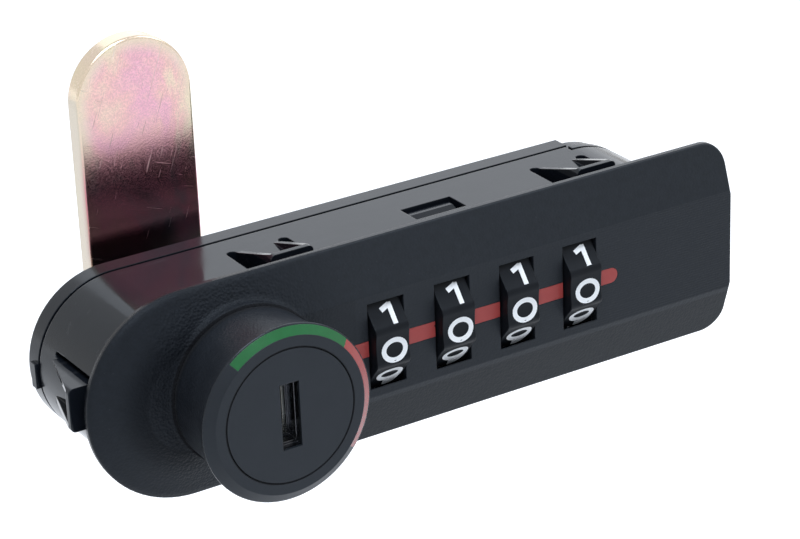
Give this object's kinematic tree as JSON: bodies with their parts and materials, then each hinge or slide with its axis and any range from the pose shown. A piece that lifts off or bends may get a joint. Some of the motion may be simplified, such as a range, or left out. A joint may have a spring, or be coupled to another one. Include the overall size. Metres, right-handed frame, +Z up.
{
  "type": "combination locker lock",
  "caption": "Snap-in locker lock with number dials, a turning knob with a key plug and a cam behind the door.",
  "frame": {"origin": "on the knob's axis, in the plane of the front plate's back face, which lies on the door", "axes": "+X along the lock from the knob past the dials, +Y into the door towards the cam, +Z up"},
  "size_m": [0.1168, 0.0503, 0.0626],
  "materials": {
    "fascia_plastic": "fine grained black moulding",
    "case_plastic": "satin black moulding",
    "knob_plastic": "satin black moulding",
    "dial_plastic": "semi-gloss black moulding with white numerals",
    "inner_plastic": "plain natural moulding",
    "red_print": "satin red",
    "green_print": "satin green",
    "yellow_zinc": "steel, zinc plated and passivated yellow and pink",
    "zinc_casting": "die cast zinc alloy",
    "spring_steel": "bright spring steel",
    "brass": "stamped brass"
  },
  "bodies": {
    "casing": {"front_plate": "fascia_plastic", "red_stripe": "red_print", "housing": "case_plastic", "rear_cover": "case_plastic", "rear_screws": "yellow_zinc", "dial_axle": "spring_steel", "locking_bar": "zinc_casting", "bar_springs": "spring_steel", "detent_spring": "spring_steel"},
    "knob": {"knob": "knob_plastic", "red_indicator": "red_print", "green_indicator": "green_print", "spindle": "zinc_casting", "cam": "yellow_zinc", "cam_washer": "yellow_zinc", "cam_screw": "yellow_zinc"},
    "key_plug": {"key_plug": "knob_plastic", "wafers": "brass", "plug_clip": "spring_steel"},
    "dial_1": {"dial_1": "dial_plastic", "code_disc_1": "inner_plastic"},
    "dial_2": {"dial_2": "dial_plastic", "code_disc_2": "inner_plastic"},
    "dial_3": {"dial_3": "dial_plastic", "code_disc_3": "inner_plastic"},
    "dial_4": {"dial_4": "dial_plastic", "code_disc_4": "inner_plastic"}
  },
  "joints": [
    {"name": "knob_turn", "type": "hinge", "parent": "casing", "child": "knob", "pos_m": [0, 0, 0], "axis": [0, 1, 0], "range_deg": [0, 90]},
    {"name": "key_turn", "type": "hinge", "parent": "knob", "child": "key_plug", "pos_m": [0, 0, 0], "axis": [0, 1, 0], "range_deg": [0, 90]},
    {"name": "dial_1_turn", "type": "hinge", "parent": "casing", "child": "dial_1", "pos_m": [0.0243, 0.0036, 0], "axis": [1, 0, 0], "continuous": true},
    {"name": "dial_2_turn", "type": "hinge", "parent": "casing", "child": "dial_2", "pos_m": [0.0363, 0.0036, 0], "axis": [1, 0, 0], "continuous": true},
    {"name": "dial_3_turn", "type": "hinge", "parent": "casing", "child": "dial_3", "pos_m": [0.0483, 0.0036, 0], "axis": [1, 0, 0], "continuous": true},
    {"name": "dial_4_turn", "type": "hinge", "parent": "casing", "child": "dial_4", "pos_m": [0.0603, 0.0036, 0], "axis": [1, 0, 0], "continuous": true}
  ]
}
